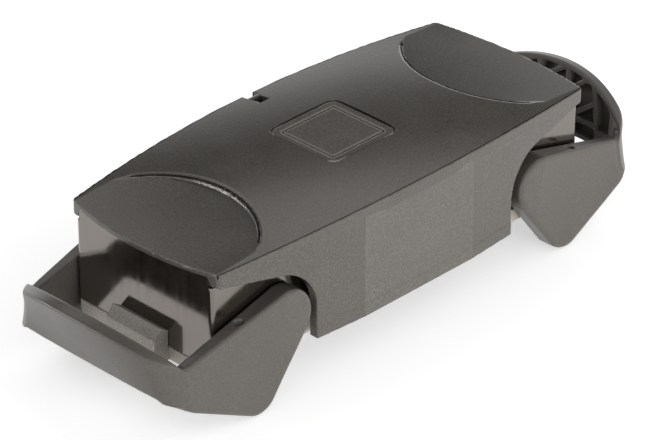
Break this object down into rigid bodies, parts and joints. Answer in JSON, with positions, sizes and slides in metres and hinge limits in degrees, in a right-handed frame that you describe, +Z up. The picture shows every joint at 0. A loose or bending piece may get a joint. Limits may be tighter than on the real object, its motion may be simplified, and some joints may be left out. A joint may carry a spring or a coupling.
{
  "type": "connector protection cover",
  "caption": "Crowned plastic cover for an industrial rectangular connector housing, with a U-shaped locking lever hinged at each end and a sealing frame below.",
  "frame": {"origin": "centre of the bounding box's underside, on the surface that the open levers' heels stand on", "axes": "+X along the cover, +Y across it towards the eyelet edge, +Z up out of the lid"},
  "size_m": [0.164, 0.0564, 0.0414],
  "materials": {
    "shell_plastic": "fine satin grain, dark warm grey",
    "housing_plastic": "smooth semi-gloss, dark warm grey",
    "frame_plastic": "satin, lighter warm grey",
    "gasket_rubber": "matt",
    "lever_plastic": "fine satin grain, dark warm grey",
    "stainless_steel": "fine brushed",
    "zinc_screw": "bright zinc plated"
  },
  "bodies": {
    "cover": {"cover_shell": "shell_plastic", "inner_housing": "housing_plastic", "sealing_frame": "frame_plastic", "sealing_gasket": "gasket_rubber", "pivot_pin_right_front": "stainless_steel", "pivot_pin_right_back": "stainless_steel", "pivot_pin_left_front": "stainless_steel", "pivot_pin_left_back": "stainless_steel", "friction_washer_right_front": "stainless_steel", "friction_washer_right_back": "stainless_steel", "friction_washer_left_front": "stainless_steel", "friction_washer_left_back": "stainless_steel", "housing_screw_right_front": "zinc_screw", "housing_screw_right_back": "zinc_screw", "housing_screw_left_front": "zinc_screw", "housing_screw_left_back": "zinc_screw"},
    "right_lever": {"lever_right": "lever_plastic", "cam_liner_right_front": "stainless_steel", "cam_liner_right_back": "stainless_steel"},
    "left_lever": {"lever_left": "lever_plastic", "cam_liner_left_front": "stainless_steel", "cam_liner_left_back": "stainless_steel"}
  },
  "joints": [
    {"name": "right_lever_hinge", "type": "hinge", "parent": "cover", "child": "right_lever", "pos_m": [0.0412, 0, 0.02115], "axis": [0, 1, 0], "range_deg": [-26, 43.5]},
    {"name": "left_lever_hinge", "type": "hinge", "parent": "cover", "child": "left_lever", "pos_m": [-0.0412, 0, 0.02115], "axis": [0, -1, 0], "range_deg": [-26, 43.5]}
  ]
}
